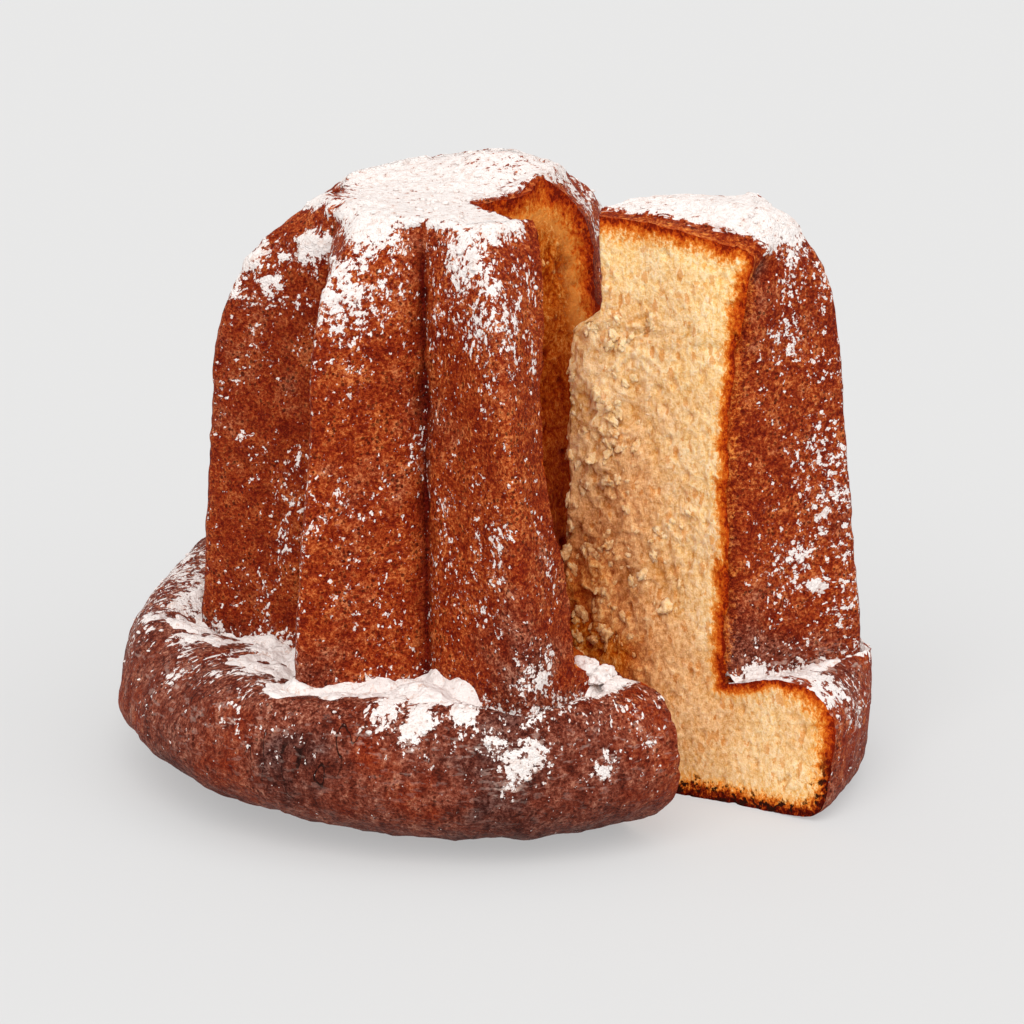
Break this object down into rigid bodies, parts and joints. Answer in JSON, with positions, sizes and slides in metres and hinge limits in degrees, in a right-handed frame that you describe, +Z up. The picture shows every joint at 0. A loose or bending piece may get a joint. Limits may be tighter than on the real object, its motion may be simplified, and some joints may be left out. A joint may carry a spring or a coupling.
{
  "type": "pandoro",
  "caption": "Tall star-shaped sweet bread on a broad roll of crust, dusted with sugar, with a wide notch cut out and a slice standing in the notch.",
  "frame": {"origin": "on the surface it rests on, below the foot of the star's axis", "axes": "+Z up; -Y is the pictured front; +X towards the notch and its slice"},
  "size_m": [0.2651, 0.2437, 0.205],
  "materials": {
    "crust": "baked crust, reddish brown, mottled and slightly glossy",
    "crumb": "soft porous crumb, creamy yellow",
    "sugar": "icing sugar, matt white powder"
  },
  "bodies": {
    "root": {"loaf": "crust", "slice": "crumb"}
  },
  "joints": []
}
